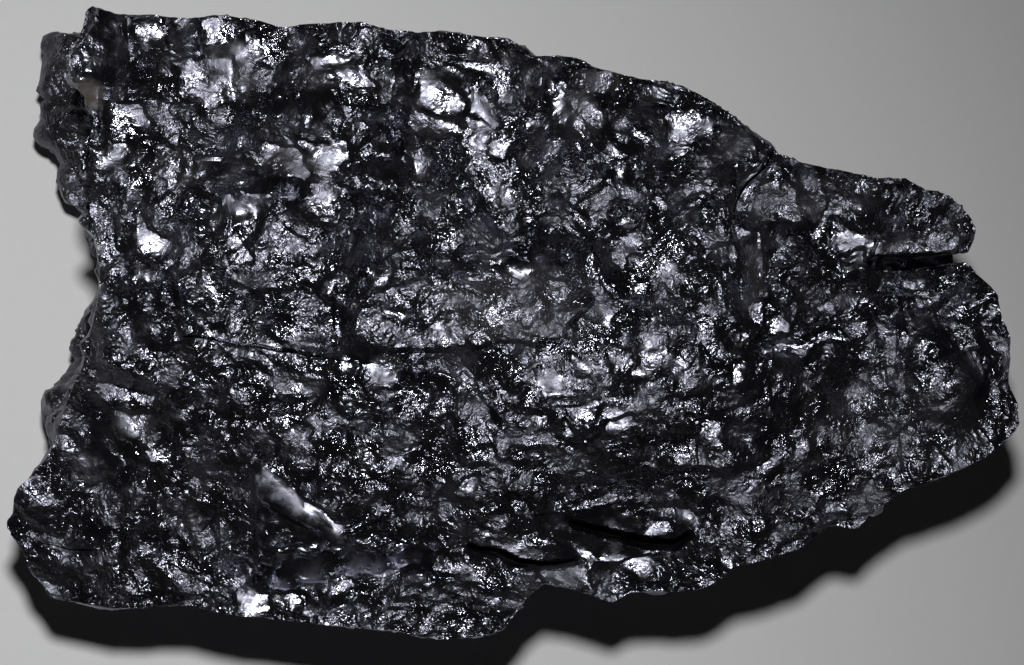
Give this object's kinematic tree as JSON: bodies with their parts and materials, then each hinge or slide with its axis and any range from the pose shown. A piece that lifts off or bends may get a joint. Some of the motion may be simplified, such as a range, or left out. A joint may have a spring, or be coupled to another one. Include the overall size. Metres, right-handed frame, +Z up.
{
  "type": "coal lump",
  "caption": "Hand-sized lump of anthracite coal with a scalloped fracture surface, a lower step at one corner, gaping joints, and a flat face to rest on.",
  "frame": {"origin": "middle of the lump's box, on the ground it lies on", "axes": "+X along the lump's longest extent, towards the narrow end; +Y across it; +Z up"},
  "size_m": [0.1032, 0.064, 0.0443],
  "materials": {
    "coal": "bright vitreous to submetallic fracture, near-black"
  },
  "bodies": {
    "root": {"coal_lump": "coal"}
  },
  "joints": []
}
